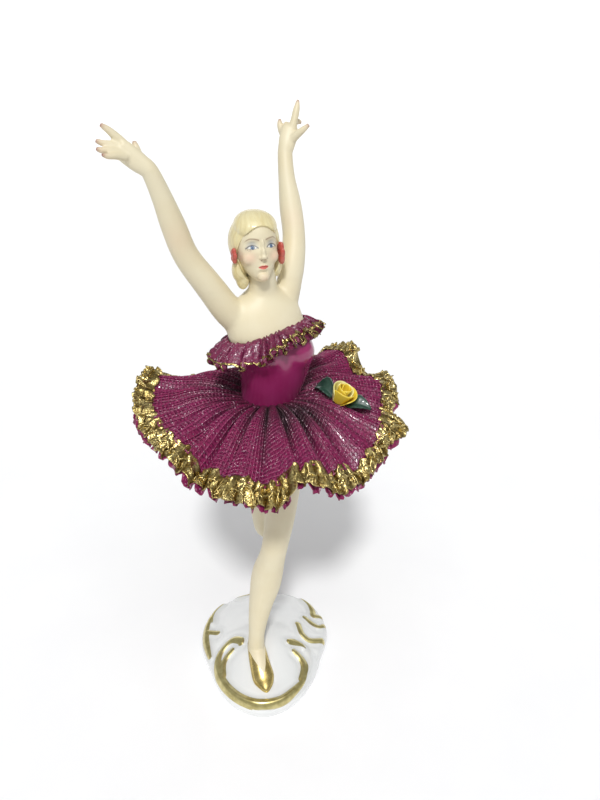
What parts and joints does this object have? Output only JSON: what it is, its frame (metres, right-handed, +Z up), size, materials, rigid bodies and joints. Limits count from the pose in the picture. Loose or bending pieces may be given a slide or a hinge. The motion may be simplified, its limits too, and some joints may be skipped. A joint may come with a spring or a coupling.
{
  "type": "porcelain ballerina figurine",
  "caption": "Porcelain dancer on pointe with raised arms, a stiff magenta lace skirt with a gold frill, a lace collar and a white scrolled dome base.",
  "frame": {"origin": "centre of the base's flat underside", "axes": "+X to the viewer's right, +Y away from the viewer, +Z up"},
  "size_m": [0.0945, 0.1074, 0.2241],
  "materials": {
    "white_glaze": "glossy white porcelain glaze with gold painted scrolls",
    "bisque_skin": "satin cream porcelain, with blond hair, magenta bodice and gold shoes painted on",
    "magenta_lace": "porcelain-dipped net lace in magenta glaze",
    "gold": "bright gilding on crinkled porcelain lace",
    "yellow_glaze": "glossy yellow glaze",
    "green_glaze": "glossy dark green glaze"
  },
  "bodies": {
    "root": {"base": "white_glaze", "figure": "bisque_skin", "skirt": "magenta_lace", "underskirt": "magenta_lace", "gold_frill": "gold", "collar": "magenta_lace", "rose": "yellow_glaze", "left_leaf": "green_glaze", "right_leaf": "green_glaze"}
  },
  "joints": []
}
